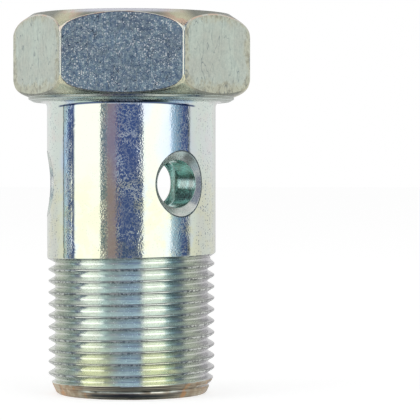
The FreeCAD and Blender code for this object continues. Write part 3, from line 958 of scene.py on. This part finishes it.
def rim_finish(scene):
    """Turned chamfers of the head: olive darkened as painted shade, cream and rose at the corners, and
    a painted highlight in front near the top.
    """
    colours = scene.bolt_colours
    painted_highlight = (0.80, 0.80, 0.90)
    top = 1000 * scene.bolt_sizes.head_top

    def colour(n):
        patch = n.fit(n.noise(0.5, 3.0), 0.5, 0.62, 0.0, 0.8)
        tip = n.blend(n.times(patch, n.fit(n.level, 43.0, 46.0)), colours.rim_cream, colours.rim_rose)
        corner = n.fit(n.calc("PINGPONG", n.azimuth, 30.0), 18.0, 29.0)
        # Olive, dark as painted shade, fills the chamfers between the corners.
        tint = n.blend(corner, colours.rim_olive, tip)
        # Painted highlight: a pale band along the top of the upper chamfer, in front.
        near_top = n.fit(n.level, top - 0.65, top - 0.15, 0.0, 0.75)
        return n.blend(n.times(n.near(n.azimuth, 0.0, 40.0), near_top), tint, painted_highlight)

    return plated("rim_zinc", colour, rough(0.22, 0.4), grainy(3.0), 0.00005, (0.3, 0.3, 0.22))


def collar_finish(scene):
    """Faced collar: grey-green with pale and dark turning rings."""
    colours = scene.bolt_colours

    def colour(n):
        return n.blend(n.fit(n.rings(5.0), 0.42, 0.58), colours.rim_olive, colours.shank_mint)

    return plated("collar_zinc", colour, rough(0.2, 0.34), lambda n: n.rings(4.0), 0.00002,
                  (0.75, 0.78, 0.7))


def top_finish(scene):
    """Faced top of the head: pale, clouded and matt."""
    cloud = (0.63, 0.70, 0.68)
    colour = patchy(scene.bolt_colours.shank_pale, cloud, (0.22, 5.0, 0.6), (0.4, 0.62))
    return plated("top_zinc", colour, rough(0.34, 0.5, 1.0, 4.0), grainy(3.0, 4.0), 0.00003,
                  (0.8, 0.85, 0.88))


def end_finish(scene):
    """Threaded end: a gold and rose face, and a chamfer that is ringed and darkened in front as painted
    shade, tan at the sides.
    """
    colours = scene.bolt_colours
    black, near_black, brown = (0.03, 0.035, 0.04), (0.05, 0.05, 0.05), (0.46, 0.30, 0.17)
    tan, rust_red, cream = (0.68, 0.56, 0.38), (0.60, 0.30, 0.12), (0.95, 0.93, 0.80)

    def colour(n):
        face = n.blend(n.fit(n.noise(0.4, 3.0), 0.45, 0.65), colours.end_gold, colours.rim_rose)
        gilt = n.plus(n.fit(n.azimuth, 15.0, 65.0, 0.05, 0.4), n.fit(n.azimuth, -20.0, -50.0, 0.0, 0.6))
        # Painted shade: the chamfer's front is dark, in rings of near black and slate.
        ringed = n.blend(n.fit(n.rings(3.0), 0.42, 0.55), near_black, colours.slate_dark)
        side = n.blend(gilt, ringed, n.blend(n.fit(n.noise(0.8, 3.0, 0.6), 0.42, 0.58), brown, tan))
        rust = n.fit(n.noise(0.5, 4.0, 0.65, n.point(1.0, 1.0, 0.5)), 0.52, 0.6, 0.0, 0.7)
        side = n.blend(n.times(rust, n.fit(gilt, 0.05, 0.3)), side, rust_red)
        broken = n.times(n.fit(n.noise(0.35, 3.0), 0.4, 0.55), n.fit(gilt, 0.4, 0.1))
        side = n.blend(n.times(n.near(n.level, 1.0, 0.16), broken), side, cream)
        # Painted shade: a black ring low on the chamfer's front.
        lower_ring = n.times(n.near(n.level, 0.55, 0.28), n.fit(gilt, 0.35, 0.0))
        side = n.blend(lower_ring, side, black)
        return n.blend(n.fit(n.level, 0.02, 0.12), face, side)

    def height(n):
        marks = n.noise(1.6, 2.0, 0.5, n.point(0.1, 0.1, 5.0))
        return n.plus(marks, n.times(n.noise(3.0, 3.0), 0.5))

    return plated("end_zinc", colour, rough(0.34, 0.5), height, 0.00003, (0.5, 0.48, 0.4))


def sink_finish(scene):
    """Countersinks: grey and partly matt."""
    colours = scene.bolt_colours
    colour = patchy(colours.sink_grey, colours.shank_mint, (0.7, 3.0), (0.4, 0.62))
    return plated("sink_zinc", colour, rough(0.2, 0.34), grainy(3.0), 0.000012, (0.5, 0.52, 0.5), 0.35)


def hole_edge_finish(scene):
    """Dark line where each countersink leaves the shank."""
    colours = scene.bolt_colours
    colour = patchy(colours.hole_edge_dark, colours.sink_grey, (1.2, 3.0), (0.5, 0.75), 0.6)
    return plated("hole_edge_zinc", colour, rough(0.25, 0.4), grainy(3.0), 0.00003, (0.2, 0.22, 0.22))


def bore_finish(scene):
    """Drilled walls: teal with fine drill marks."""
    colours = scene.bolt_colours
    colour = patchy(colours.bore_teal, colours.shank_mint, (0.8, 3.0), (0.35, 0.65))
    return plated("bore_zinc", colour, rough(0.12, 0.2), lambda n: n.rings(3.0), 0.00002,
                  (0.3, 0.55, 0.48), 0.15)


class MESH_OT_plated_bolt(bpy.types.Operator):
    """Build the threaded, plated bolt and let it stand for the CAD solid"""

    bl_idname = "mesh.plated_bolt"
    bl_label = "Plated bolt"

    def execute(self, context):
        scene = context.scene
        mesh = join_patches("plated_bolt", bolt_patches(scene.bolt_sizes))
        for finish in (top_finish, rim_finish, edge_finish, flat_finish, collar_finish, shank_finish,
                       thread_finish, end_finish, bore_finish, sink_finish, hole_edge_finish):
            mesh.materials.append(finish(scene))
        bolt = bpy.data.objects.new("plated_bolt", mesh)
        scene.collection.objects.link(bolt)
        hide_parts("banjo_bolt")
        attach(bolt, "root")
        return {"FINISHED"}


# Studio

def add_softbox(scene, name, azimuth, size, height=0.08, distance=0.6, level=1.12):
    """Hang a rectangular lamp that faces the bolt; its light is its level over all its area."""
    lamp = bpy.data.lights.new(name, "AREA")
    lamp.shape = "RECTANGLE"
    lamp.size, lamp.size_y = size
    lamp.energy = level * math.pi * size[0] * size[1]
    stand = bpy.data.objects.new(name, lamp)
    turn = math.radians(azimuth)
    stand.location = (distance * math.sin(turn), -distance * math.cos(turn), height)
    bolt_middle = 0.025
    drop = math.atan2(height - bolt_middle, distance)
    stand.rotation_euler = (math.pi / 2 - drop, 0, turn)
    stand.visible_camera = False
    stand.visible_glossy = False
    scene.collection.objects.link(stand)


def studio_world(scene):
    """White for the camera, an even grey for matt surfaces, and a room of strips for the metal.

    The metal mirrors bright and dark strips round the bolt. Low down the room turns pale blue,
    with one white belt and a dark patch right below, and overhead it turns white.
    """
    white, ash, navy, mauve = 1.0, 0.75, (0.085, 0.13, 0.29), (0.38, 0.30, 0.36)
    dim, line, sky = (0.21, 0.28, 0.36), (0.02, 0.03, 0.04), (0.80, 1.0, 1.1)
    strip, teal, haze = 1.6, (0.34, 0.52, 0.60), (0.60, 0.80, 0.88)
    matt_grey = 0.55
    world = bpy.data.worlds.new("studio")
    world.use_nodes = True
    n = Nodes(world.node_tree)
    way = n.put("SeparateXYZ", {"Vector": n.put("TexCoord").outputs["Generated"]}).outputs
    up = way["Z"]
    room = n.bands(n.turn_of(way), (
        (-180, ash), (-140, white), (-101.5, white), (-100.5, line), (-99, line), (-98, sky),
        (-93, sky), (-91, navy), (-79.5, navy), (-78, strip), (-39, strip), (-37, dim), (-30, dim),
        (-27, mauve), (-17, mauve), (-14, navy), (20.5, navy), (23, strip), (57, strip), (61, sky),
        (69, teal), (79, navy), (88, navy), (90, line), (93, white), (140, white), (180, ash)))
    room = n.blend(n.times(n.fit(up, -0.62, -0.72), 0.6), room, haze)
    room = n.blend(n.times(n.fit(up, -0.46, -0.52), n.fit(up, -0.66, -0.60)), room, white)
    room = n.blend(n.fit(up, -0.86, -0.92), room, line)
    room = n.blend(n.fit(up, 0.84, 0.94, 0.0, 0.9), room, white)
    ray = n.put("LightPath").outputs
    around = n.blend(ray["Is Glossy Ray"], matt_grey, room)
    back = n.put("Background", {"Color": n.blend(ray["Is Camera Ray"], around, white), "Strength": 1.0})
    n.put("OutputWorld", {"Surface": back.outputs["Background"]})
    scene.world = world


def studio_floor(scene):
    """Pale floor that carries the bolt's shadow, clear to mirrored rays and from below."""
    reach, glow_level = 4, 0.68
    mesh = bpy.data.meshes.new("floor")
    mesh.from_pydata([(-reach, -reach, 0), (reach, -reach, 0), (reach, reach, 0), (-reach, reach, 0)],
                     [], [(0, 1, 2, 3)])
    floor = bpy.data.objects.new("floor", mesh)
    material = bpy.data.materials.new("floor_white")
    material.use_nodes = True
    n = Nodes(material.node_tree)
    ray = n.put("LightPath").outputs
    matt = n.put("BsdfDiffuse", {"Color": opaque(scene.bolt_colours.floor_white)})
    strength = n.times(ray["Is Camera Ray"], glow_level)
    glow = n.put("Emission", {"Color": opaque(1.0), "Strength": strength})
    both = n.put("AddShader", {0: matt.outputs["BSDF"], 1: glow.outputs["Emission"]})
    clear = n.put("BsdfTransparent").outputs["BSDF"]
    from_below = n.put("NewGeometry").outputs["Backfacing"]
    unseen = n.calc("MAXIMUM", ray["Is Glossy Ray"], from_below)
    mixed = n.put("MixShader", {0: unseen, 1: both.outputs["Shader"], 2: clear})
    n.put("OutputMaterial", {"Surface": mixed.outputs["Shader"]})
    mesh.materials.append(material)
    scene.collection.objects.link(floor)


def studio_camera(scene, azimuth=5.1, distance=0.293, height=0.0289, down=0.97, aside=2.007):
    """Place the camera as in the photograph: angles in degrees, aside is its turn off the bolt."""
    lens = bpy.data.cameras.new("camera")
    lens.sensor_width = 36.0
    lens.lens = 192.1
    lens.clip_start = 0.01
    lens.clip_end = 50.0
    camera = bpy.data.objects.new("camera", lens)
    side = math.radians(azimuth)
    camera.location = (distance * math.sin(side), -distance * math.cos(side), height)
    camera.rotation_euler = (math.radians(90 - down), 0, math.radians(azimuth - aside))
    scene.collection.objects.link(camera)
    scene.camera = camera


class SCENE_OT_bolt_stage(bpy.types.Operator):
    """Set the floor, the white background, the soft lamps and the camera"""

    bl_idname = "scene.bolt_stage"
    bl_label = "Studio"

    def execute(self, context):
        scene = context.scene
        studio_floor(scene)
        studio_world(scene)
        add_softbox(scene, "softbox_left", -58.4, (0.45, 0.9))
        add_softbox(scene, "softbox_right", 40.5, (0.367, 0.9))
        studio_camera(scene)
        scene.view_settings.view_transform = "Standard"
        return {"FINISHED"}


class VIEW3D_PT_banjo_bolt(bpy.types.Panel):
    """Sizes, colours and the steps that build the bolt"""

    bl_label = "Banjo bolt"
    bl_space_type = "VIEW_3D"
    bl_region_type = "UI"
    bl_category = "Banjo bolt"

    def draw(self, context):
        layout = self.layout
        for group in (context.scene.bolt_sizes, context.scene.bolt_colours):
            column = layout.column()
            for name in group.bl_rna.properties.keys():
                if name not in ("rna_type", "name"):
                    column.prop(group, name)
        layout.operator("mesh.plated_bolt")
        layout.operator("scene.bolt_stage")


CLASSES = (BoltSizes, BoltColours, MESH_OT_plated_bolt, SCENE_OT_bolt_stage, VIEW3D_PT_banjo_bolt)


def register():
    """Register the classes and hang the sizes and colours on the scene."""
    for item in CLASSES:
        bpy.utils.register_class(item)
    bpy.types.Scene.bolt_sizes = PointerProperty(type=BoltSizes)
    bpy.types.Scene.bolt_colours = PointerProperty(type=BoltColours)


def unregister():
    """Undo register."""
    del bpy.types.Scene.bolt_colours
    del bpy.types.Scene.bolt_sizes
    for item in reversed(CLASSES):
        bpy.utils.unregister_class(item)


def main():
    """Build the bolt and its studio."""
    register()
    bpy.ops.mesh.plated_bolt()
    bpy.ops.scene.bolt_stage()


if __name__ == "__main__":
    main()
